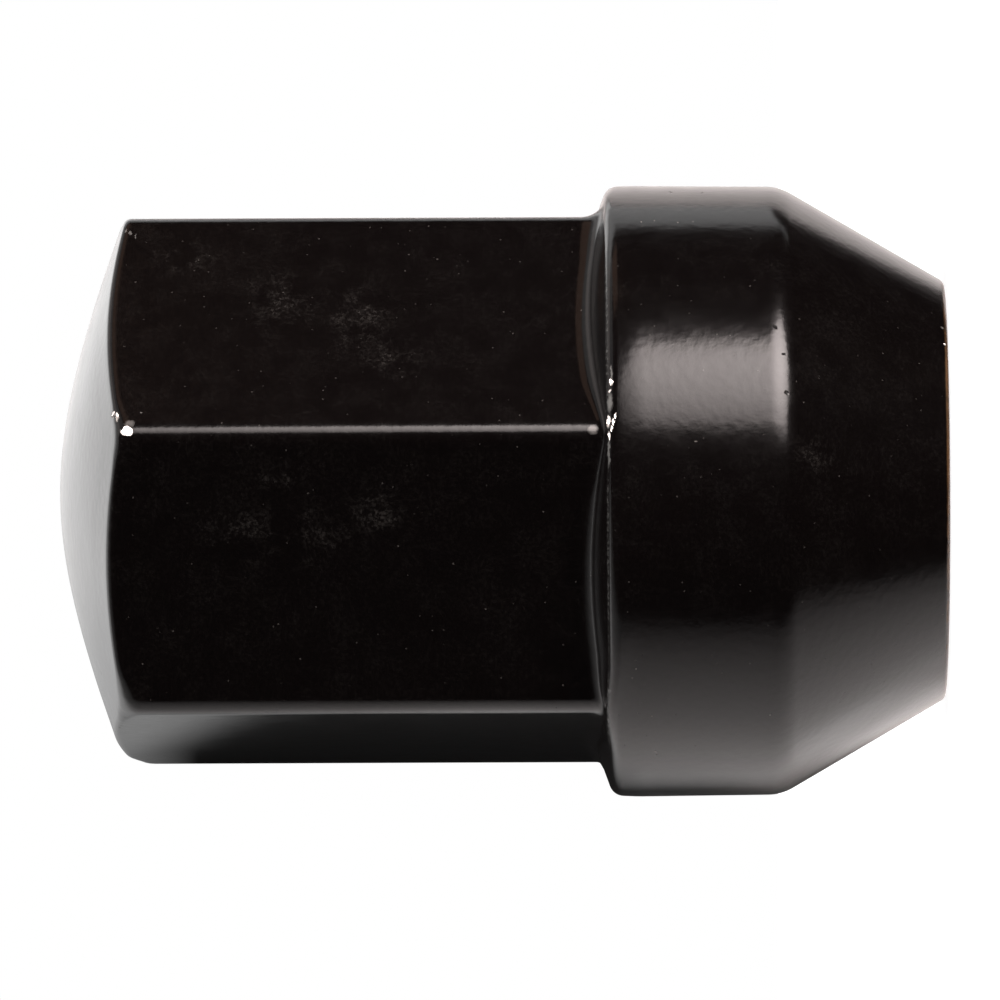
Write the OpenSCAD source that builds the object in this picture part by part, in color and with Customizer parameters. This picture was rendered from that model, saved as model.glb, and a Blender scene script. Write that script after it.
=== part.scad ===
// Closed-end lug nut: a hexagon with a blunt crown, a collar and a conical seat, forged in one piece.
// The axis is Z. The open end stands at z = 0 and the crown is at the top.

/* [Overall] */
// Length from the open end to the top of the crown
total_len = 38.8; // [36:0.1:50]

/* [Crown] */
// Fall of the crown towards its rim, in degrees
crown_slope = 18.5; // [10:0.5:24]
// Rounding of the crown's blunt tip
crown_tip_r = 21.5; // [10:0.5:28]
// Rounding where the corners run into the crown
crown_edge_r = 1; // [0.4:0.1:2]

/* [Hexagon] */
// Wrench size across the flats
hex_af = 22; // [20:0.1:23]
// Rounding along the six upright edges
hex_edge_r = 1.05; // [0.3:0.05:2]

/* [Collar] */
// Diameter of the collar
collar_d = 26.8; // [26.6:0.1:32]
// Length of the collar between the seat and the shoulder
collar_len = 7.35; // [5:0.05:10]
// Rounding between the collar and the seat
seat_edge_r = 2.2; // [0.5:0.1:4]

/* [Shoulder] */
// Slope of the shoulder that rises from the collar to the hexagon, measured from the axis
shoulder_angle = 62; // [40:1:75]
// Rounding between the collar and the shoulder
shoulder_r = 0.75; // [0.2:0.05:1.2]
// Hollow radius where the flats run into the shoulder
root_r = 1; // [0.3:0.05:1.5]

/* [Seat] */
// Included angle of the conical seat
seat_angle = 60; // [50:1:75]
// Length of the conical seat along the axis
seat_len = 7.2; // [4:0.1:7.6]
// Rounding at the seat's small end
end_edge_r = 0.4; // [0.1:0.05:0.8]

/* [Bore] */
// Diameter of the bore before the thread is cut
bore_d = 12.5; // [10:0.1:13]
// Diameter of the countersunk mouth
mouth_d = 14.8; // [13.6:0.1:16]
// Included angle of the countersink
mouth_angle = 90; // [60:1:120]
// Included angle of the drill point
drill_angle = 118; // [90:1:140]
// Steel left between the drill point and the top of the crown
cap_wall = 5; // [3:0.1:10]

/* [Hidden] */
$fn = 96;

collar_r = collar_d / 2;
flat_r = hex_af / 2;
shoulder_z = seat_len + collar_len;
end_r = collar_r - seat_len * tan(seat_angle / 2);

// The shoulder's foot lies just inside the flats, so that its hollow crosses them cleanly.
foot_bite = 0.03;
foot_r = flat_r - foot_bite;
foot_z = shoulder_z + (collar_r - foot_r) / tan(shoulder_angle);

// The corners' outermost radius, and the crown's rim a little outside it.
corner_r = flat_r / cos(30) - hex_edge_r * (1 / cos(30) - 1);
rim_gap = 0.12;
rim_r = corner_r + rim_gap;

bore_r = bore_d / 2;
mouth_r = mouth_d / 2;
mouth_h = (mouth_r - bore_r) / tan(mouth_angle / 2);
drill_h = bore_r / tan(drill_angle / 2);
bore_h = total_len - cap_wall - drill_h;

// Arcs reach this far past the edges they round, so that they cross them cleanly.
lap = 0.001;
// Cutters start this far below the open end.
clear = 1;

function unit(v) = v / norm(v);
function half_angle(a, p, b) = acos(unit(a - p) * unit(b - p)) / 2;
function reach(a, p, b, r) = r / tan(half_angle(a, p, b));
function hub(a, p, b, r) = p + unit(unit(a - p) + unit(b - p)) * r / sin(half_angle(a, p, b));
function before(pts, i) = pts[(i + len(pts) - 1) % len(pts)];
function after(pts, i) = pts[(i + 1) % len(pts)];
function blunt(a, p, b, r) =
    r == 0 ? [p] : [p + unit(a - p) * reach(a, p, b, r), p + unit(b - p) * reach(a, p, b, r)];

// An outline whose corners are rounded: a radius above 0 rounds an outer corner, below 0 an inner one.
module rounded_outline(pts, radii) {
    corners = [for (i = [0 : len(pts) - 1]) [before(pts, i), pts[i], after(pts, i), radii[i]]];
    difference() {
        union() {
            polygon([for (c = corners) each blunt(c[0], c[1], c[2], abs(c[3]))]);
            for (c = corners)
                if (c[3] > 0) translate(hub(c[0], c[1], c[2], c[3])) circle(c[3] + lap);
        }
        for (c = corners)
            if (c[3] < 0) translate(hub(c[0], c[1], c[2], -c[3])) circle(lap - c[3]);
    }
}

// Half section of the seat, the collar and the shoulder that rises to the hexagon, faced flat at z = 0
module collar_section() {
    intersection() {
        rounded_outline(
            [
                [0, 0],
                [end_r, 0],
                [collar_r, seat_len],
                [collar_r, shoulder_z],
                [foot_r, foot_z],
                [foot_r, foot_z + root_r],
                [0, foot_z + root_r]
            ],
            [0, end_edge_r, seat_edge_r, shoulder_r, -root_r, 0, 0]
        );
        square([collar_d, total_len]);
    }
}

module hexagon() {
    tips = [for (i = [0 : 5]) flat_r / cos(30) * [cos(60 * i), sin(60 * i)]];
    rounded_outline(tips, [for (t = tips) hex_edge_r]);
}

// Half section of the crown: a blunt cone whose rounded rim gives the hexagon's corners their ends
module crown_section() {
    peak = total_len - lap + crown_tip_r * (1 / cos(crown_slope) - 1);
    rim_z = peak - rim_r * tan(crown_slope);
    intersection() {
        rounded_outline(
            [[-rim_r, seat_len], [rim_r, seat_len], [rim_r, rim_z], [0, peak], [-rim_r, rim_z]],
            [0, 0, crown_edge_r, crown_tip_r, crown_edge_r]
        );
        square([collar_d, total_len]);
    }
}

// Blind bore with a countersunk mouth and a drill point
module bore_section() {
    polygon([
        [0, -clear],
        [mouth_r + clear * tan(mouth_angle / 2), -clear],
        [bore_r, mouth_h],
        [bore_r, bore_h],
        [0, bore_h + drill_h]
    ]);
}

module lug_nut() {
    color([0.03, 0.03, 0.035])
    difference() {
        union() {
            rotate_extrude() collar_section();
            intersection() {
                translate([0, 0, seat_len]) linear_extrude(total_len) hexagon();
                rotate_extrude() crown_section();
            }
        }
        rotate_extrude() bore_section();
    }
}

lug_nut();
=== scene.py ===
import math
from bisect import bisect_left

import bmesh
import bpy
from mathutils import Matrix, Vector


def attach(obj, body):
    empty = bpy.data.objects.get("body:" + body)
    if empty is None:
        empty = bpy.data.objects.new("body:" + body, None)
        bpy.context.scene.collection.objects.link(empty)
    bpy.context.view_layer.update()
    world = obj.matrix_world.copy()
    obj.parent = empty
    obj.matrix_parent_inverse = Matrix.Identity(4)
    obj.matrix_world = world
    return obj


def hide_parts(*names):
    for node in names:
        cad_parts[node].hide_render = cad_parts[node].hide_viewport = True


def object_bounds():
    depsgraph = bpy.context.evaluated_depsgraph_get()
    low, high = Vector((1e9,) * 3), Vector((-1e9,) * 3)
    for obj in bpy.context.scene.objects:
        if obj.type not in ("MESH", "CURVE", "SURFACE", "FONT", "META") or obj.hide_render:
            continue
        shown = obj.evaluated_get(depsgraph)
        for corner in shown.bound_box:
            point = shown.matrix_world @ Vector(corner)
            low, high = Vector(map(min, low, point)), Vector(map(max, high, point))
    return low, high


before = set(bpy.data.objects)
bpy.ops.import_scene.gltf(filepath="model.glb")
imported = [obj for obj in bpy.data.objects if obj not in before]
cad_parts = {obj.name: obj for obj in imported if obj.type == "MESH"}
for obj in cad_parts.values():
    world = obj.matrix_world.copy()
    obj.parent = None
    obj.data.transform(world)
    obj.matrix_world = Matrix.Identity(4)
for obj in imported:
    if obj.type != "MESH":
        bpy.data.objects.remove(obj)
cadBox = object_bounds()
mm = 0.001
boxSize = (cadBox[1] - cadBox[0]) / mm
print("frame loaded, box in mm:", [round(v, 2) for v in boxSize])


# Small helpers

def colour(code):
    # sRGB hex to the linear values that a shader wants
    parts = [int(code[i:i + 2], 16) / 255 for i in (1, 3, 5)]
    return [p / 12.92 if p <= 0.04045 else ((p + 0.055) / 1.055) ** 2.4 for p in parts] + [1.0]


def addNode(tree, kind, settings=None, inputs=None):
    # An input is a value, a socket, or a node whose first output is meant
    node = tree.nodes.new("ShaderNode" + kind)
    for name, value in (settings or {}).items():
        setattr(node, name, value)
    for name, value in (inputs or {}).items():
        if isinstance(value, bpy.types.Node):
            value = value.outputs[0]
        if isinstance(value, bpy.types.NodeSocket):
            tree.links.new(value, node.inputs[name])
        else:
            node.inputs[name].default_value = value
    return node


def newMaterial(name):
    material = bpy.data.materials.new(name)
    material.use_nodes = True
    material.node_tree.nodes.clear()
    return material, material.node_tree


def deselectAll():
    bpy.ops.object.select_all(action="DESELECT")


def onlyThis(obj):
    deselectAll()
    obj.select_set(True)
    bpy.context.view_layer.objects.active = obj


# The nut's shape. All in mm and degrees; its width and height come from the frame.

nut = {
    "acrossFlats": 22.0,
    "uprightEdge": 1.05,     # rounding along the six upright edges
    "crownSlope": 0.43,      # fall of the crown towards the rim, as a blunt cone
    "crownTip": 7.5,         # how far the tip's roundness reaches
    "crownLip": 2.2,         # where the crown's even rings end, inwards from the flats
    "collarTop": 14.66,
    "collarTilt": 0.09,      # the shoulder stands a little higher on the side of the first corner
    "collarDraft": 0.06,     # the collar is that much narrower at the seat
    "rollLength": 1.1,       # the collar's top that rolls off towards the shoulder
    "rollRound": 9.0,
    "seatTop": 7.2,
    "seatRound": 2.2,        # between collar and seat
    "seatAngle": 60.4,       # included
    "endRound": 0.4,
    "mouth": 14.8,           # countersink at the open end
    "mouthRound": 0.12,
    "bore": 12.5,
    "boreEnd": 30.04,
    "boreRound": 0.5,
    "drillTip": 33.8,
    "drillFlat": 0.3,        # radius of the last ring before the tip
    # Forged unevenly: rounding at the crown, shoulder's slope from the axis, hollow at its foot,
    # rounding at its top, how much higher it stands, and how far the collar rolls off towards it
    "onFlats": {"rim": 0.4, "slope": 70.0, "hollow": 0.85, "round": 0.65, "lift": 0.0, "roll": 0.03},
    "atCorners": {
        0: {"rim": 0.35, "slope": 67.0, "hollow": 1.15, "round": 0.28, "lift": 0.02, "roll": 0.01},
        60: {"rim": 0.9, "slope": 66.0, "hollow": 0.7, "round": 0.5, "lift": 0.0, "roll": 0.05},
        120: {"rim": 1.1, "slope": 63.0, "hollow": 0.5, "round": 0.7, "lift": 0.0, "roll": 0.05},
        180: {"rim": 1.4, "slope": 55.0, "hollow": 0.35, "round": 1.1, "lift": 0.0, "roll": 0.1},
        240: {"rim": 1.1, "slope": 66.0, "hollow": 0.6, "round": 0.7, "lift": 0.12, "roll": 0.06},
        300: {"rim": 0.8, "slope": 72.0, "hollow": 0.4, "round": 0.5, "lift": -0.03, "roll": 0.12},
    },
    "reach": {"rim": 9, "slope": 14, "hollow": 14, "round": 14, "lift": 14, "roll": 30},  # from a corner
    "crownRings": 14,
    "arcSteps": 9,
    "flatSteps": 36,         # faces across a flat
    "flatCrowding": 1.3,     # how much closer together they are towards its ends
    "edgeSteps": 12,         # faces round an upright edge
    "mergeWithin": 0.0001,
    "smoothUnder": 40,       # faces at a smaller angle are shaded as one
}

totalHeight = boxSize.z
collarRadius = min(-cadBox[0].x, cadBox[1].x, -cadBox[0].y, cadBox[1].y) / mm
flatRadius = nut["acrossFlats"] / 2
hubRadius = (flatRadius - nut["uprightEdge"]) / math.cos(math.radians(30))
edgeReach = math.degrees(math.atan2(nut["uprightEdge"] / 2,
                                    hubRadius + nut["uprightEdge"] * math.cos(math.radians(30))))


def nutTurns():
    # Angles of the mesh's columns, close together round each upright edge
    turns = []
    for corner in range(0, 360, 60):
        for k in range(nut["edgeSteps"]):
            lean = math.radians(-30 + 60 * k / nut["edgeSteps"])
            across = nut["uprightEdge"] * math.sin(lean)
            out = hubRadius + nut["uprightEdge"] * math.cos(lean)
            turns.append(corner + math.degrees(math.atan2(across, out)))
        for k in range(nut["flatSteps"]):
            along = nut["flatCrowding"] * (-1 + 2 * k / nut["flatSteps"])
            turns.append(corner + 30 + (30 - edgeReach) * math.sin(along) / math.sin(nut["flatCrowding"]))
    return sorted(t % 360 for t in turns)


def hexRadius(turn):
    fromCorner = abs((turn + 30) % 60 - 30)
    lean = math.radians(fromCorner)
    if fromCorner < edgeReach:
        aside = hubRadius * math.sin(lean)
        return hubRadius * math.cos(lean) + math.sqrt(nut["uprightEdge"] ** 2 - aside ** 2)
    return flatRadius / math.cos(math.radians(30 - fromCorner))


def forged(turn, name):
    # The flats' value, running into each corner's own within reach
    corner = int(round(turn / 60)) * 60 % 360
    near = max(0.0, 1 - abs((turn + 30) % 60 - 30) / nut["reach"][name])
    near = near * near * (3 - 2 * near)
    return nut["onFlats"][name] + (nut["atCorners"][corner][name] - nut["onFlats"][name]) * near


def crownHeight(radius):
    fall = math.hypot(1, radius / nut["crownTip"]) - 1
    return totalHeight - nut["crownSlope"] * nut["crownTip"] * fall


def roundCorner(before, corner, after, radius, steps):
    toBefore = (before - corner).normalized()
    toAfter = (after - corner).normalized()
    half = toBefore.angle(toAfter) / 2
    hub = corner + (toBefore + toAfter).normalized() * radius / math.sin(half)
    start = corner + toBefore * radius / math.tan(half) - hub
    sweep = math.pi - 2 * half
    side = 1 if start.cross(toAfter) > 0 else -1
    return [hub + Matrix.Rotation(side * sweep * k / steps, 2) @ start for k in range(steps + 1)]


def nutProfile(turn):
    # Radius and height down one side, from the crown to the drill point, as many points at every turn
    outer = hexRadius(turn)
    crownIn = outer - nut["crownLip"]
    slope = math.tan(math.radians(forged(turn, "slope")))
    seatRun = nut["seatTop"] * math.tan(math.radians(nut["seatAngle"] / 2))
    mouthDepth = (nut["mouth"] - nut["bore"]) / 2
    shoulder = nut["collarTop"] + nut["collarTilt"] * math.cos(math.radians(turn)) + forged(turn, "lift")
    shoulderRadius = collarRadius - forged(turn, "roll")
    seatRadius = collarRadius - nut["collarDraft"]
    corners = [  # place, rounding, faces along the run that follows
        (Vector((crownIn, crownHeight(crownIn))), 0, 4),
        (Vector((outer, crownHeight(outer))), forged(turn, "rim"), 22),
        (Vector((outer, shoulder + (shoulderRadius - outer) / slope)), forged(turn, "hollow"), 4),
        (Vector((shoulderRadius, shoulder)), forged(turn, "round"), 1),
        (Vector((collarRadius, shoulder - nut["rollLength"])), nut["rollRound"], 12),
        (Vector((seatRadius, nut["seatTop"])), nut["seatRound"], 12),
        (Vector((seatRadius - seatRun, 0)), nut["endRound"], 4),
        (Vector((nut["mouth"] / 2, 0)), nut["mouthRound"], 4),
        (Vector((nut["bore"] / 2, mouthDepth)), nut["mouthRound"], 1),
        (Vector((nut["bore"] / 2, nut["boreEnd"])), nut["boreRound"], 4),
        (Vector((nut["drillFlat"], nut["drillTip"])), 0, 0),
    ]
    points = []
    for k in range(1, nut["crownRings"]):
        radius = crownIn * k / nut["crownRings"]
        points.append(Vector((radius, crownHeight(radius))))
    last = None
    for i, (place, rounding, run) in enumerate(corners):
        if rounding:
            arc = roundCorner(corners[i - 1][0], place, corners[i + 1][0], rounding, nut["arcSteps"])
        else:
            arc = [place]
        if last is not None:
            for k in range(1, steps):
                share = 0.5 - 0.5 * math.cos(math.pi * k / steps)  # closer together next to the roundings
                points.append(last.lerp(arc[0], share))
        points += arc
        last = arc[-1]
        steps = run
    return points


def ringPoint(turn, point):
    angle = math.radians(turn)
    return Vector((point.x * math.cos(angle), point.x * math.sin(angle), point.y)) * mm


def placeRing(obj, turns, points):
    # The new ring still lies on the one before it, so each vertex is known by its angle
    slack = 0.01  # degrees
    edit = bmesh.from_edit_mesh(obj.data)
    for vertex in edit.verts:
        if vertex.select:
            turn = math.degrees(math.atan2(vertex.co.y, vertex.co.x)) % 360
            column = bisect_left(turns, turn - slack) % len(turns)
            vertex.co = ringPoint(turns[column], points[column])
    bmesh.update_edit_mesh(obj.data)


def closeRing(obj, height):
    # A last fan to a point on the axis
    bpy.ops.mesh.extrude_edges_move()
    edit = bmesh.from_edit_mesh(obj.data)
    for vertex in edit.verts:
        if vertex.select:
            vertex.co = Vector((0, 0, height * mm))
    bmesh.update_edit_mesh(obj.data)
    bpy.ops.mesh.merge(type="CENTER")


def selectOpenEdges(obj):
    edit = bmesh.from_edit_mesh(obj.data)
    for edge in edit.edges:
        edge.select_set(edge.is_boundary)


def buildNut():
    turns = nutTurns()
    profiles = [nutProfile(t) for t in turns]
    deselectAll()
    bpy.ops.mesh.primitive_circle_add(vertices=len(turns), radius=flatRadius * mm, fill_type="NOTHING")
    obj = bpy.context.object
    obj.name = "blackLugNut"
    for vertex, turn, profile in zip(obj.data.vertices, turns, profiles):
        vertex.co = ringPoint(turn, profile[0])
    bpy.ops.object.mode_set(mode="EDIT")
    bpy.ops.mesh.select_all(action="SELECT")
    for ring in range(1, len(profiles[0])):
        bpy.ops.mesh.extrude_edges_move()
        placeRing(obj, turns, [profile[ring] for profile in profiles])
    closeRing(obj, nut["drillTip"])
    selectOpenEdges(obj)
    closeRing(obj, totalHeight)
    bpy.ops.mesh.select_all(action="SELECT")
    bpy.ops.mesh.remove_doubles(threshold=nut["mergeWithin"] * mm)
    bpy.ops.mesh.normals_make_consistent(inside=False)
    bpy.ops.object.mode_set(mode="OBJECT")
    print("nut drawn ring by ring:", len(profiles[0]), "rings of", len(turns))
    return obj


# The thread: right-hand, M14 x 1.5, cut by a tap as in the works

thread = {
    "pitch": 1.5,
    "major": 14.0,
    "crestFlat": 0.19,       # width of the groove's floor
    "flanks": 60,            # degrees between the groove's sides
    "inside": 12.1,          # the tap's own core, in the open bore
    "leadIn": 1.2,           # turns that start outside the mouth
    "turns": 19,
    "runOut": 2.6,           # length over which the last turns fade
    "steps": 72,
}


def cutThread(obj):
    half = thread["crestFlat"] / 2
    deep, shallow = thread["major"] / 2, thread["inside"] / 2
    flank = (deep - shallow) * math.tan(math.radians(thread["flanks"] / 2))
    outline = [(shallow, -half - flank), (deep, -half), (deep, half), (shallow, half + flank)]
    deselectAll()
    bpy.ops.mesh.primitive_circle_add(vertices=len(outline), radius=mm, fill_type="NOTHING")
    tap = bpy.context.object
    tap.name = "tap"
    start = -thread["leadIn"] * thread["pitch"]
    for vertex, (radius, height) in zip(tap.data.vertices, outline):
        vertex.co = Vector((radius, 0, height + start)) * mm
    screw = tap.modifiers.new("helix", "SCREW")
    screw.axis = "Z"
    screw.angle = 2 * math.pi
    screw.screw_offset = thread["pitch"] * mm
    screw.iterations = thread["turns"]
    screw.steps = thread["steps"]
    screw.render_steps = thread["steps"]
    bpy.ops.object.modifier_apply(modifier=screw.name)
    bpy.ops.object.mode_set(mode="EDIT")
    selectOpenEdges(tap)
    bpy.ops.mesh.edge_face_add()
    bpy.ops.mesh.select_all(action="SELECT")
    bpy.ops.mesh.normals_make_consistent(inside=False)
    bpy.ops.object.mode_set(mode="OBJECT")
    top = max(v.co.z for v in tap.data.vertices)
    for vertex in tap.data.vertices:
        fade = max(0.0, 1 - (top - vertex.co.z) / (thread["runOut"] * mm))
        across = Vector((vertex.co.x, vertex.co.y, 0))
        vertex.co -= across.normalized() * fade * (deep - shallow) * mm
    onlyThis(obj)
    cut = obj.modifiers.new("thread", "BOOLEAN")
    cut.operation = "DIFFERENCE"
    cut.solver = "MANIFOLD"
    cut.object = tap
    bpy.ops.object.modifier_apply(modifier=cut.name)
    bpy.data.objects.remove(tap)
    print("thread cut:", len(obj.data.polygons), "faces")


# Gloss black coating over forged steel: smooth, with a little orange peel, so lamps show in it as clean
# shapes with slightly soft edges. Dust greys it, and knocks on one upright edge have bared the steel.

coating = {
    "paint": "#0b0808",
    "dust": "#b2aca6",
    "thinEdge": "#85603c",   # brown where the coating runs thin round the open end
    "steel": "#efebe6",
    # Noises: mm across one wave, detail, roughness
    "noises": {
        "cloud": (1.3, 3, 0.6),     # patches of dust and haze
        "lint": (0.16, 2, 0.7),     # the grains that a patch is made of
        "rag": (0.2, 1, 0.5),       # along the outlines of chips
        "peel": (0.35, 0, 0.5),     # dimples of the orange peel
        "grain": (0.12, 1, 0.5),    # drawn coarser than the real 0.04
    },
    "peelHeight": 0.004,     # mm
    "grainHeight": 0.0018,
    "turning": 0.2,          # mm between lathe lines on collar and seat, drawn coarser than the real 0.1
    "turningHeight": 0.0002,
    "turningFade": 0.4,      # mm below the collar's top
    "wander": 0.12,          # mm by which the outlines of chips wander round the nut, at most
    "wanderAlong": 0.7,      # the share of it that they wander along the nut and outwards
    "film": 0.004,           # dust on the clean parts
    "speckGap": 0.55,        # mm between single grains
    "speckSize": 0.045,
    "speckDust": 0.24,
    "boreDull": 0.25,        # roughness added in the bore
    "boreFade": 0.3,         # mm
    "boreRoom": 0.5,         # mm above the drill point
    "chipDull": 0.2,
    "knock": (0.14, 0.05, -0.1),  # bare spots are knocked flat along the axis, leaning this way
    # Where each of these starts and ends, and its values there. A mark is 1 at its rim and 0 in its middle.
    "ramps": {
        "chip": (1.0, 0.8, 0.0, 1.0),
        "thin": (1.0, 0.5, 0.0, 0.19),
        "rub": (1.0, 0.4, 0.0, 0.12),
        "dent": (0.0, 1.0, -0.035, 0.0),     # mm
        "handled": (1.0, 0.2, 0.1, 1.0),
        "scratch": (1.0, 0.4, 0.0, 0.4),
        "brown": (1.0, 0.4, 0.0, 0.5),
        "bits": (0.45, 0.75, 0.05, 1.0),
        "patch": (0.42, 0.62, 0.0, 0.09),
        "uneven": (0.38, 0.58, 0.2, 1.0),
        "gloss": (0.3, 0.7, 0.14, 0.19),     # roughness, from clean to hazy
    },
    # Marks: turn, height, radius, half size round the nut, along it and outwards. Bare steel first:
    "chips": [
        (304.7, 36.04, 11.80, 0.17, 0.50, 0.16),  # crown end of the knocked edge
        (303.9, 35.81, 12.15, 0.30, 0.08, 0.30),
        (300.5, 35.38, 12.45, 0.23, 0.29, 0.60),
        (308.8, 14.61, 13.25, 0.17, 0.07, 0.60),  # shoulder below the same edge
        (307.2, 14.66, 13.21, 0.10, 0.08, 0.60),
        (301.4, 14.75, 13.11, 0.31, 0.09, 0.60),
        (302.3, 14.44, 13.33, 0.17, 0.05, 0.60),
        (301.1, 14.52, 13.29, 0.17, 0.05, 0.60),
        (299.9, 14.60, 13.24, 0.17, 0.05, 0.60),
        (298.6, 14.71, 13.16, 0.20, 0.05, 0.60),
        (331.1, 0.14, 9.40, 0.10, 0.07, 0.40),    # open end
    ],
    "thinned": [                                  # coating pulled thin, the steel shimmering through
        (305.0, 14.68, 13.18, 0.52, 0.15, 0.60),
        (310.8, 14.60, 13.25, 0.40, 0.05, 0.60),
        (295.8, 14.72, 13.14, 0.90, 0.06, 0.60),
        (300.4, 15.40, 12.55, 0.26, 0.27, 0.60),
        (302.1, 35.26, 12.30, 0.20, 0.28, 0.60),
        (304.7, 34.78, 12.20, 0.06, 0.06, 0.60),
        (356.7, 35.70, 12.26, 0.16, 0.06, 0.60),
        (356.0, 35.50, 12.20, 0.16, 0.06, 0.60),
        (355.2, 35.25, 12.12, 0.20, 0.04, 0.60),
        (337.4, 0.22, 9.43, 0.14, 0.10, 0.40),
    ],
    "pits": [
        (224.3, 36.02, 11.32, 0.13, 0.10, 0.40),
        (226.4, 35.92, 11.50, 0.08, 0.07, 0.40),
        (234.4, 35.71, 12.02, 0.06, 0.06, 0.40),
        (233.2, 36.84, 9.50, 0.06, 0.40, 0.20),
        (5.0, 12.00, 13.40, 0.26, 0.08, 0.40),
        (4.8, 10.60, 13.40, 0.34, 0.05, 0.40),
        (320.0, 7.57, 13.38, 0.06, 0.10, 0.40),
        (314.4, 7.20, 13.33, 0.07, 0.12, 0.40),
        (306.6, 7.10, 13.30, 0.10, 0.10, 0.40),
    ],
    "rubbed": [                                   # all round the shoulder and the open end
        (0.0, 14.80, 13.10, 1000, 0.09, 0.20),
        (0.0, 0.12, 9.35, 1000, 0.12, 0.12),
    ],
    "endRing": [(0.0, 0.05, 9.22, 1000, 0.13, 0.35)],
    "scuffs": [                                   # handled, so dust sticks
        (336.4, 28.9, 11.05, 2.2, 2.0, 3.0),
        (330.4, 25.4, 11.00, 2.8, 1.6, 3.0),
        (319.4, 24.1, 11.20, 1.6, 1.5, 3.0),
        (349.4, 33.2, 11.70, 1.2, 1.6, 3.0),
        (278.4, 29.0, 11.15, 1.8, 4.0, 3.0),
        (283.4, 24.6, 11.28, 1.2, 1.4, 3.0),
        (291.4, 28.8, 11.80, 0.9, 1.1, 3.0),
        (295.4, 5.9, 12.60, 1.1, 1.0, 3.0),
    ],
    "scratches": [
        (231.0, 12.77, 13.40, 0.10, 0.04, 0.40),
        (230.0, 12.70, 13.40, 0.10, 0.04, 0.40),
        (297.3, 11.00, 13.40, 0.04, 0.09, 0.40),
        (253.4, 13.59, 13.40, 0.05, 0.05, 0.40),
        (241.8, 12.91, 13.40, 0.05, 0.05, 0.40),
        (241.7, 7.82, 13.40, 0.05, 0.05, 0.40),
        (348.8, 13.27, 13.40, 0.07, 0.04, 0.40),
        (349.3, 12.70, 13.40, 0.05, 0.04, 0.40),
        (348.6, 11.69, 13.40, 0.07, 0.05, 0.40),
        (349.0, 11.03, 13.40, 0.05, 0.03, 0.40),
    ],
}


def nearestMark(tree, place, marks):
    # Distance to the nearest mark, 0 in its middle and 1 at its rim
    nearest = None
    for turn, height, radius, around, along, outwards in marks:
        around = around / collarRadius
        turn = math.radians((turn + 180) % 360 - 180)
        local = addNode(tree, "VectorMath", {"operation": "MULTIPLY_ADD"}, {
            0: place,
            1: (1 / around, 1 / along, 1 / outwards),
            2: (-turn / around, -height / along, -radius / outwards),
        })
        away = addNode(tree, "VectorMath", {"operation": "LENGTH"}, {0: local}).outputs["Value"]
        if nearest:
            away = addNode(tree, "Math", {"operation": "MINIMUM"}, {0: nearest, 1: away}).outputs[0]
        nearest = away
    return nearest


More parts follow.
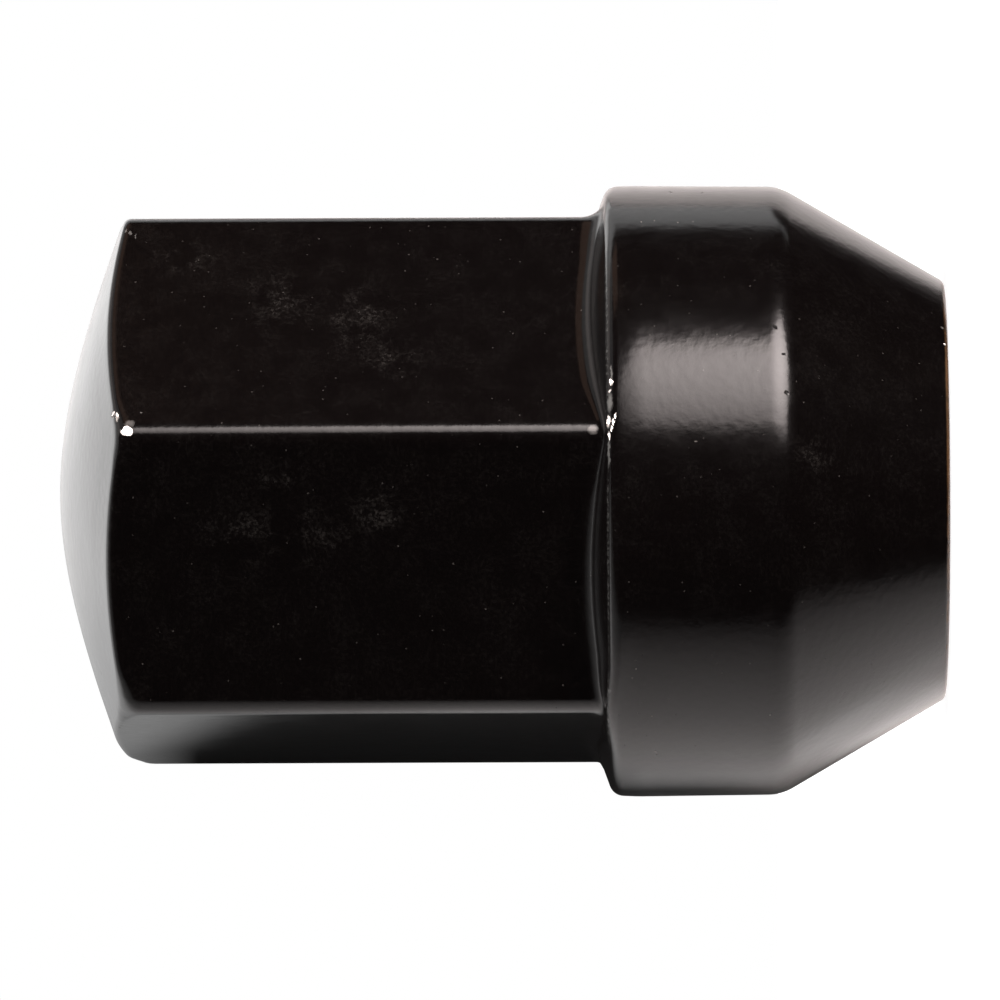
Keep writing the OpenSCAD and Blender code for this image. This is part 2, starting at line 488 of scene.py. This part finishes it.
def blackCoating():
    material, tree = newMaterial("glossBlackCoating")
    place = addNode(tree, "TexCoord").outputs["Object"]

    # Turn, height and distance from the axis, which the marks go by
    split = addNode(tree, "SeparateXYZ", inputs={"Vector": place})
    turn = addNode(tree, "Math", {"operation": "ARCTAN2"}, {0: split.outputs["Y"], 1: split.outputs["X"]})
    height = addNode(tree, "Math", {"operation": "DIVIDE"}, {0: split.outputs["Z"], 1: mm})
    flat = addNode(tree, "VectorMath", {"operation": "MULTIPLY"}, {0: place, 1: (1 / mm, 1 / mm, 0)})
    radius = addNode(tree, "VectorMath", {"operation": "LENGTH"}, {0: flat}).outputs["Value"]
    polar = addNode(tree, "CombineXYZ", inputs={0: turn, 1: height, 2: radius})

    noise = {}
    for name, (size, detail, roughness) in coating["noises"].items():
        noise[name] = addNode(tree, "TexNoise", inputs={
            "Vector": place, "Scale": 1 / (size * mm), "Detail": detail, "Roughness": roughness})

    # The marks; those that go down to the steel have ragged outlines
    shift = addNode(tree, "MapRange", inputs={
        "Value": noise["rag"], "To Min": -coating["wander"], "To Max": coating["wander"]})
    along = coating["wanderAlong"]
    drift = addNode(tree, "VectorMath", {"operation": "SCALE"},
                    {0: (1 / collarRadius, along, along), "Scale": shift})
    ragged = addNode(tree, "VectorMath", {"operation": "ADD"}, {0: polar, 1: drift})
    toChip = nearestMark(tree, ragged, coating["chips"])
    toPit = nearestMark(tree, ragged, coating["pits"])
    source = {
        "chip": toChip,
        "thin": nearestMark(tree, ragged, coating["thinned"]),
        "rub": nearestMark(tree, polar, coating["rubbed"]),
        "dent": addNode(tree, "Math", {"operation": "MINIMUM"}, {0: toPit, 1: toChip}),
        "handled": nearestMark(tree, polar, coating["scuffs"]),
        "scratch": nearestMark(tree, polar, coating["scratches"]),
        "brown": nearestMark(tree, polar, coating["endRing"]),
        "bits": noise["lint"],
        "patch": noise["cloud"],
        "uneven": noise["cloud"],
        "gloss": noise["cloud"],
    }
    ramp = {}
    for name, (start, end, low, high) in coating["ramps"].items():
        ramp[name] = addNode(tree, "MapRange", inputs={
            "Value": source[name], "From Min": start, "From Max": end, "To Min": low, "To Max": high})

    # Bare steel in the chips, a shimmer of it where the coating is thinned or rubbed
    rubbed = addNode(tree, "Math", {"operation": "MULTIPLY"}, {0: ramp["rub"], 1: ramp["bits"]})
    faint = addNode(tree, "Math", {"operation": "MAXIMUM"}, {0: ramp["thin"], 1: rubbed})
    bare = addNode(tree, "Math", {"operation": "MAXIMUM"}, {0: ramp["chip"], 1: faint})

    # Dust: patches where the nut was handled, single grains everywhere
    haze = addNode(tree, "Math", {"operation": "MULTIPLY_ADD"},
                   {0: ramp["patch"], 1: ramp["handled"], 2: coating["film"]})
    fluff = addNode(tree, "Math", {"operation": "MULTIPLY"}, {0: haze, 1: ramp["bits"]})
    grains = addNode(tree, "TexVoronoi", inputs={"Vector": place, "Scale": 1 / (coating["speckGap"] * mm)})
    sized = addNode(tree, "Math", {"operation": "DIVIDE"},
                    {0: grains.outputs["Distance"], 1: noise["lint"]})  # grains differ in size
    speckRim = 2 * coating["speckSize"] / coating["speckGap"]
    speck = addNode(tree, "MapRange", inputs={
        "Value": sized, "From Min": speckRim, "From Max": speckRim / 4,
        "To Min": 0.0, "To Max": coating["speckDust"]})
    glint = addNode(tree, "Math", {"operation": "MULTIPLY"}, {0: speck, 1: grains.outputs["Color"]})
    dusty = addNode(tree, "Math", {"operation": "MAXIMUM"}, {0: fluff, 1: glint})
    dust = addNode(tree, "Math", {"operation": "MAXIMUM"}, {0: dusty, 1: ramp["scratch"]})

    # Relief in mm: orange peel, grain, lathe lines, pits and chips
    relief = addNode(tree, "Math", {"operation": "MULTIPLY"}, {0: noise["peel"], 1: coating["peelHeight"]})
    relief = addNode(tree, "Math", {"operation": "MULTIPLY_ADD"},
                     {0: noise["grain"], 1: coating["grainHeight"], 2: relief})
    lines = addNode(tree, "TexNoise", {"noise_dimensions": "2D"}, {
        "Vector": polar, "Scale": 1 / coating["turning"], "Detail": 0.0})
    turned = addNode(tree, "MapRange", inputs={
        "Value": height, "From Min": nut["collarTop"], "From Max": nut["collarTop"] - coating["turningFade"],
        "To Min": 0.0, "To Max": coating["turningHeight"]})
    relief = addNode(tree, "Math", {"operation": "MULTIPLY_ADD"}, {0: lines, 1: turned, 2: relief})
    relief = addNode(tree, "Math", {"operation": "ADD"}, {0: ramp["dent"], 1: relief})
    bump = addNode(tree, "Bump", inputs={"Height": relief, "Distance": mm})

    # Bare spots lose their slope along the axis and lean as they were knocked
    kept = addNode(tree, "Math", {"operation": "SUBTRACT"}, {0: 1.0, 1: ramp["chip"]})
    level = addNode(tree, "CombineXYZ", inputs={0: 1.0, 1: 1.0, 2: kept})
    knock = addNode(tree, "VectorMath", {"operation": "SCALE"}, {0: coating["knock"], "Scale": ramp["chip"]})
    beaten = addNode(tree, "VectorMath", {"operation": "MULTIPLY_ADD"}, {0: bump, 1: level, 2: knock})
    normal = addNode(tree, "VectorMath", {"operation": "NORMALIZE"}, {0: beaten})

    # Hazy gloss outside, dull in the bore where the coating runs thin
    mouthRadius = nut["mouth"] / 2
    within = addNode(tree, "MapRange", inputs={
        "Value": radius, "From Min": mouthRadius, "From Max": mouthRadius - coating["boreFade"],
        "To Min": 0.0, "To Max": coating["boreDull"]})
    below = addNode(tree, "Math", {"operation": "LESS_THAN"},
                    {0: height, 1: nut["drillTip"] + coating["boreRoom"]})
    inBore = addNode(tree, "Math", {"operation": "MULTIPLY"}, {0: within, 1: below})
    dull = addNode(tree, "Math", {"operation": "ADD"}, {0: ramp["gloss"], 1: inBore})
    rough = addNode(tree, "Math", {"operation": "MULTIPLY_ADD"},
                    {0: ramp["chip"], 1: coating["chipDull"], 2: dull})

    # Paint, then dust, the brown edge and the steel over it
    tint = addNode(tree, "Math", {"operation": "MULTIPLY"}, {0: ramp["brown"], 1: ramp["uneven"]})
    shown = colour(coating["paint"])
    for share, name in ((dust, "dust"), (tint, "thinEdge"), (bare, "steel")):
        shown = addNode(tree, "Mix", {"data_type": "RGBA"}, {
            0: share, 6: shown, 7: colour(coating[name])}).outputs[2]
    shader = addNode(tree, "BsdfPrincipled", inputs={
        "Base Color": shown,
        "Metallic": bare,
        "Roughness": rough,
        "Normal": normal,
    })
    addNode(tree, "OutputMaterial", inputs={"Surface": shader})
    print("coating mixed:", len(tree.nodes), "nodes")
    return material


# Studio: the nut stands on a pale floor; the camera lies on its side, as the photograph shows the nut lying.
# Cards that the camera doesn't see stand round it for the gloss to mirror: a table with painted light and
# shade, walls and a softbox.

studio = {
    "azimuth": 18.2,         # degrees, so that the hexagon is turned as in the photograph
    "distance": 505.0,       # mm
    "frameWidth": 43.9,      # mm seen across the picture at the nut
    "middle": 19.5,          # mm above the open end
    "drop": 0.36,            # mm below the axis
    "stand": 15.1,           # mm above the open end, where the camera stands
    "roll": 0.24,            # degrees
    "sensor": 36,            # mm
    "lightLean": 42.2,       # degrees from the camera towards picture top, square to the flat that faces up
    "cardLean": 6.4,         # degrees, as the lying nut tips onto its crown
    "contact": (14.06, 13.45),  # mm above the open end and below the axis, where the nut touches the table
    "floorSize": 900.0,
    "floorDrop": 0.05,       # mm below the open end
    "floorColour": "#b0b0b0",
    "floorGlow": 0.96,
    "topLight": 4.8,
    "topSpread": 60,         # degrees
    "roomLight": 0.004,
    # Far wall, right of and above the spot where the nut touches the table
    "backWall": [(-400, 0), (25, 0), (60, 66), (175, 106), (175, 118), (95, 100), (62, 118), (-400, 118)],
    "backWallAway": 400,     # mm behind that spot
    "backWallLight": 0.95,
    "leftWallAway": (350, 295),  # mm left of that spot and behind it
    # Cards: mm wide and high, colour, strength
    "cards": {
        "leftWall": (510, 110, "#fff4f0", 0.8),
        "curtain": (510, 190, "#ffffff", 0.36),  # above the left wall
        "warmCard": (220, 260, "#866c5e", 1.6),
        "brownCard": (400, 320, "#d0ac8c", 1.1),
    },
    "warmPlace": (-183.47, 465.12, 0),  # mm to picture right and top, and towards the camera
    "brownPlace": (400, 100, -140),
}

azimuth = math.radians(studio["azimuth"])
towards = Vector((math.sin(azimuth), -math.cos(azimuth), 0))
pictureRight = Vector((0, 0, -1))
pictureUp = towards.cross(pictureRight)
picture = Matrix((pictureRight, pictureUp, towards)).transposed()
lean = math.radians(studio["lightLean"])
cardUp = towards * math.cos(lean) + pictureUp * math.sin(lean)
cardBack = cardUp.cross(pictureRight)


def placed(across, along, up, at):
    matrix = Matrix((across, along, up)).transposed().to_4x4()
    matrix.translation = at
    return matrix


def rectangle(width, height):
    x, y = width / 2, height / 2
    return [(-x, -y), (x, -y), (x, y), (-x, y)]


def addCard(name, outline, matrix, material):
    deselectAll()
    bpy.ops.mesh.primitive_circle_add(vertices=len(outline), radius=1, fill_type="NGON")
    card = bpy.context.object
    card.name = name
    for vertex, (right, up) in zip(card.data.vertices, outline):
        vertex.co = Vector((right, up, 0)) * mm
    card.matrix_world = matrix
    card.data.materials.append(material)
    return card


def paleFloor():
    # Bright enough that only the nearest part of the nut's shadow shows
    material, tree = newMaterial("paleFloor")
    paint = addNode(tree, "BsdfDiffuse", inputs={"Color": colour(studio["floorColour"])})
    light = addNode(tree, "Emission", inputs={"Strength": studio["floorGlow"]})
    both = addNode(tree, "AddShader", inputs={0: paint, 1: light})
    addNode(tree, "OutputMaterial", inputs={"Surface": both})
    return material


def lampCard(name, code, strength):
    material, tree = newMaterial(name)
    shader = addNode(tree, "Emission", inputs={"Color": colour(code), "Strength": strength})
    addNode(tree, "OutputMaterial", inputs={"Surface": shader})
    return material


# White table that the gloss mirrors, shaded by the nut under the softbox and by a painted shadow, with
# painted light glowing from it. All in mm right of and behind the spot where the nut touches it; in front is
# towards the camera, and the crown is on the left.

table = {
    "size": (1200, 800),
    "nutMiddle": -6.0,       # mm behind, the middle of the painted shadow under the nut
    "hiddenMiddle": 11.5,    # mm behind, the middle of what only the nut's back sees
    "farAskew": -0.37,       # what a mm behind counts to the right, so that the painted shade's edge at the far right runs askew
    "flatAskew": 2.1,        # the same for the painted shadow's end beside the flat
    # middles of two painted spots of light
    "frontSpot": (16, -9, 0),
    "farSpot": (43, 57, 0),
    "dimming": (-13, -38),   # mm behind: where the painted light and shade start to dim towards the camera, where they have halved
    # What each ramp of painted light and shade goes by, where it starts and ends in mm, and its values there
    "ramps": {
        "left": ("right", -8, -34, 1.0, 0.12),           # painted shade: the paper's white, fading to the left
        # painted shade, darker at the far right
        "farRight": ("farAskew", 7, 14, 0.9, 0.08),
        "nearRight": ("back", 20, 60, 1.0, 0.0),
        "under": ("fromNut", 5, 9, 0.25, 1.0),           # painted shadow under the nut
        "beyond": ("right", -2, 1, 0.0, 1.0),            # but not under its seat
        "strip": ("back", -9.5, -13, 0.0, 1.0),          # painted strip of light in front of the nut
        "swell": ("right", -12, -6, 0.45, 0.78),
        "ebb": ("right", -5, -1, 0.78, 0.55),
        "rise": ("right", -19, -34.5, 0.0, 1.78),        # painted light, out of the crown's shadow
        "fall": ("right", -45, -100, 1.78, 0.5),
        "ahead": ("back", -10, -24, 1.0, 0.08),
        # painted light: beside the flat, two spots, and under the nut where only its back sees the table
        "aslant": ("flatAskew", -33, -38.4, 0.005, 0.53),
        "frontSpot": ("fromFrontSpot", 2, 7, 0.6, 0.0),
        "farSpot": ("fromFarSpot", 4, 14, 1.6, 0.0),
        "hidden": ("fromHidden", 6, 13.5, 0.8, 0.0),
        "mouthSide": ("right", 0, 6, 1.0, 0.0),
        "crownSide": ("right", -13, -19, 1.0, 0.0),
    },
    "softEnds": ("aslant", "frontSpot", "farSpot", "hidden"),
}


def paintedLightTable():
    material, tree = newMaterial("paintedLightTable")
    place = addNode(tree, "TexCoord").outputs["Object"]
    split = addNode(tree, "SeparateXYZ", inputs={"Vector": place})
    goesBy = {"right": split.outputs["X"], "back": split.outputs["Y"]}
    for name in ("farAskew", "flatAskew"):
        goesBy[name] = addNode(tree, "Math", {"operation": "MULTIPLY_ADD"},
                               {0: goesBy["back"], 1: table[name], 2: goesBy["right"]})
    for name, middle in (("fromNut", "nutMiddle"), ("fromHidden", "hiddenMiddle")):
        off = addNode(tree, "Math", {"operation": "SUBTRACT"}, {0: goesBy["back"], 1: table[middle] * mm})
        goesBy[name] = addNode(tree, "Math", {"operation": "ABSOLUTE"}, {0: off})
    for name, spot in (("fromFrontSpot", "frontSpot"), ("fromFarSpot", "farSpot")):
        goesBy[name] = addNode(tree, "VectorMath", {"operation": "DISTANCE"},
                               {0: place, 1: Vector(table[spot]) * mm}).outputs["Value"]
    ramp = {}
    for name, (measure, start, end, low, high) in table["ramps"].items():
        ends = "SMOOTHSTEP" if name in table["softEnds"] else "LINEAR"
        ramp[name] = addNode(tree, "MapRange", {"interpolation_type": ends}, {
            "Value": goesBy[measure], "From Min": start * mm, "From Max": end * mm,
            "To Min": low, "To Max": high})

    # Painted light and shade dim towards the camera, past the nut
    start, end = table["dimming"]
    further = addNode(tree, "MapRange", {"clamp": False}, {
        "Value": goesBy["back"], "From Min": start * mm, "From Max": end * mm, "To Min": 1.0, "To Max": 2.0})
    paintedFalloff = addNode(tree, "Math", {"operation": "MAXIMUM"}, {0: further, 1: 1.0})

    # White paper with painted shade: a painted shadow under the nut, darker to the left, at the far right
    # and towards the camera
    white = addNode(tree, "Math", {"operation": "DIVIDE"}, {0: ramp["left"], 1: paintedFalloff})
    right = addNode(tree, "Math", {"operation": "MAXIMUM"}, {0: ramp["farRight"], 1: ramp["nearRight"]})
    paintedShade = addNode(tree, "Math", {"operation": "MAXIMUM"}, {0: ramp["under"], 1: ramp["beyond"]})
    lit = addNode(tree, "Math", {"operation": "MULTIPLY"}, {0: white, 1: right})
    paint = addNode(tree, "Math", {"operation": "MULTIPLY"}, {0: lit, 1: paintedShade})
    paper = addNode(tree, "BsdfDiffuse", inputs={"Color": paint})

    # A painted strip of light in front of the nut
    along = addNode(tree, "Math", {"operation": "MINIMUM"}, {0: ramp["swell"], 1: ramp["ebb"]})
    strip = addNode(tree, "Math", {"operation": "MULTIPLY"}, {0: ramp["strip"], 1: along})
    paintedFill = addNode(tree, "Math", {"operation": "DIVIDE"}, {0: strip, 1: paintedFalloff})

    # Painted light: left of the crown the table brightens evenly; beside the flat the nut's painted shadow
    # ends aslant
    leftward = addNode(tree, "Math", {"operation": "MINIMUM"}, {0: ramp["rise"], 1: ramp["fall"]})
    clear = addNode(tree, "Math", {"operation": "MULTIPLY"}, {0: leftward, 1: ramp["ahead"]})
    behind = addNode(tree, "Math", {"operation": "SUBTRACT"}, {0: 1.0, 1: ramp["strip"]})
    beside = addNode(tree, "Math", {"operation": "MULTIPLY"}, {0: ramp["aslant"], 1: behind})
    paintedPool = addNode(tree, "Math", {"operation": "MAXIMUM"}, {0: clear, 1: beside})

    # Painted light under the nut, where only its back sees the table, and two painted spots of light
    length = addNode(tree, "Math", {"operation": "MINIMUM"}, {0: ramp["mouthSide"], 1: ramp["crownSide"]})
    paintedGlow = addNode(tree, "Math", {"operation": "MULTIPLY_ADD"}, {0: ramp["hidden"], 1: length, 2: paintedPool})
    for more in (paintedFill, ramp["frontSpot"], ramp["farSpot"]):
        paintedGlow = addNode(tree, "Math", {"operation": "ADD"}, {0: paintedGlow, 1: more})
    # the table glows with all this painted light, though it is no lamp
    light = addNode(tree, "Emission", inputs={"Strength": paintedGlow})
    both = addNode(tree, "AddShader", inputs={0: paper, 1: light})
    addNode(tree, "OutputMaterial", inputs={"Surface": both})
    return material


# Softbox over the flat that faces up

softbox = {
    # Corners, right and back of the point above the collar, in mm
    "outline": [(-120, -156), (380, -172), (410, 90), (300, 240),
                (225, 285), (160, 250), (0, 123), (-120, -30)],
    "over": 10.5,            # mm above the open end
    "away": 500,             # mm
    "colour": "#fff3f0",
    "lampSpot": (200, 80, 0),
    "lampReach": 405,        # mm
    "lampPower": (13.0, 0.7),  # at the lamp and at the end of its reach
}


def softboxFace():
    # Brightest where its lamp sits, fading to the rim
    material, tree = newMaterial("softboxFace")
    place = addNode(tree, "TexCoord").outputs["Object"]
    away = addNode(tree, "VectorMath", {"operation": "DISTANCE"},
                   {0: place, 1: Vector(softbox["lampSpot"]) * mm}).outputs["Value"]
    bright, dim = softbox["lampPower"]
    power = addNode(tree, "MapRange", {"interpolation_type": "SMOOTHSTEP"}, {
        "Value": away, "From Min": 0.0, "From Max": softbox["lampReach"] * mm,
        "To Min": bright, "To Max": dim})
    shader = addNode(tree, "Emission", inputs={"Color": colour(softbox["colour"]), "Strength": power})
    addNode(tree, "OutputMaterial", inputs={"Surface": shader})
    return material


def buildCards():
    floor = addCard("floor", rectangle(studio["floorSize"], studio["floorSize"]),
                    Matrix.Translation((0, 0, -studio["floorDrop"] * mm)), paleFloor())
    floor.visible_glossy = False
    floor.visible_diffuse = False
    floor.visible_shadow = False

    tip = math.radians(studio["cardLean"])
    across = pictureRight * math.cos(tip) - cardUp * math.sin(tip)
    up = cardUp * math.cos(tip) + pictureRight * math.sin(tip)
    height, below = studio["contact"]
    contact = Vector((0, 0, height * mm)) - cardUp * below * mm
    left, behind = studio["leftWallAway"]
    foot = contact - across * left * mm + cardBack * behind * mm
    wallHeight = studio["cards"]["leftWall"][1]
    curtainMiddle = wallHeight + studio["cards"]["curtain"][1] / 2
    places = {
        "leftWall": placed(cardBack, up, across, foot + up * wallHeight / 2 * mm),
        "curtain": placed(cardBack, up, across, foot + up * curtainMiddle * mm),
        "warmCard": placed(pictureRight, towards, -pictureUp, picture @ Vector(studio["warmPlace"]) * mm),
        "brownCard": placed(pictureUp, towards, -pictureRight, picture @ Vector(studio["brownPlace"]) * mm),
    }
    cards = [
        addCard(name, rectangle(width, high), places[name], lampCard(name, code, strength))
        for name, (width, high, code, strength) in studio["cards"].items()
    ]
    # the table card, with painted shade in its colour and painted light glowing from it
    cards.append(addCard("paintedLightTable", rectangle(*table["size"]), placed(across, cardBack, up, contact),
                         paintedLightTable()))
    wallFoot = contact + cardBack * studio["backWallAway"] * mm
    cards.append(addCard("backWall", studio["backWall"], placed(across, up, -cardBack, wallFoot),
                         lampCard("backWall", "#ffffff", studio["backWallLight"])))
    lampPlace = Vector((0, 0, softbox["over"] * mm)) + cardUp * softbox["away"] * mm
    lamp = addCard("softbox", softbox["outline"], placed(pictureRight, cardBack, cardUp, lampPlace),
                   softboxFace())
    for card in cards + [lamp]:
        card.visible_camera = False
        card.visible_shadow = False
        card.visible_diffuse = False
    lamp.visible_diffuse = True  # the dust is lit by it too
    print("floor and cards placed:", len(cards) + 2)


def lightRoom():
    deselectAll()
    bpy.ops.object.light_add(type="SUN")
    top = bpy.context.object
    top.name = "topLight"
    top.data.energy = studio["topLight"]
    top.data.angle = math.radians(studio["topSpread"])
    top.visible_glossy = False

    # The room is dark in the nut's gloss and white behind it
    world = bpy.data.worlds.new("studio")
    bpy.context.scene.world = world
    world.use_nodes = True
    tree = world.node_tree
    tree.nodes.clear()
    path = addNode(tree, "LightPath")
    white = colour("#ffffff")
    room = addNode(tree, "Background", inputs={"Color": white, "Strength": studio["roomLight"]})
    backdrop = addNode(tree, "Background", inputs={"Color": white, "Strength": 1.0})
    pick = addNode(tree, "MixShader", inputs={0: path.outputs["Is Camera Ray"], 1: room, 2: backdrop})
    addNode(tree, "OutputWorld", inputs={"Surface": pick})
    print("studio lit")


def placeCamera():
    level = pictureUp * -studio["drop"] * mm
    aim = level + Vector((0, 0, studio["middle"] * mm))
    spot = level + Vector((0, 0, studio["stand"] * mm)) + towards * studio["distance"] * mm
    back = (spot - aim).normalized()
    side = (pictureRight - back * pictureRight.dot(back)).normalized()
    turn = Matrix.Rotation(math.radians(-studio["roll"]), 3, back)
    cameraData = bpy.data.cameras.new("camera")
    cameraData.sensor_width = studio["sensor"]
    cameraData.lens = studio["sensor"] * studio["distance"] / studio["frameWidth"]
    cameraData.clip_start = 0.01
    cameraData.clip_end = 20
    camera = bpy.data.objects.new("camera", cameraData)
    bpy.context.scene.collection.objects.link(camera)
    camera.matrix_world = placed(turn @ side, turn @ back.cross(side), back, spot)
    bpy.context.scene.camera = camera
    bpy.context.scene.view_settings.view_transform = "Standard"
    print("camera placed")


lugNut = buildNut()
cutThread(lugNut)
onlyThis(lugNut)
bpy.ops.object.shade_smooth_by_angle(angle=math.radians(nut["smoothUnder"]))
lugNut.data.materials.clear()
lugNut.data.materials.append(blackCoating())
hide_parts("lug_nut")
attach(lugNut, "root")
buildCards()
lightRoom()
placeCamera()
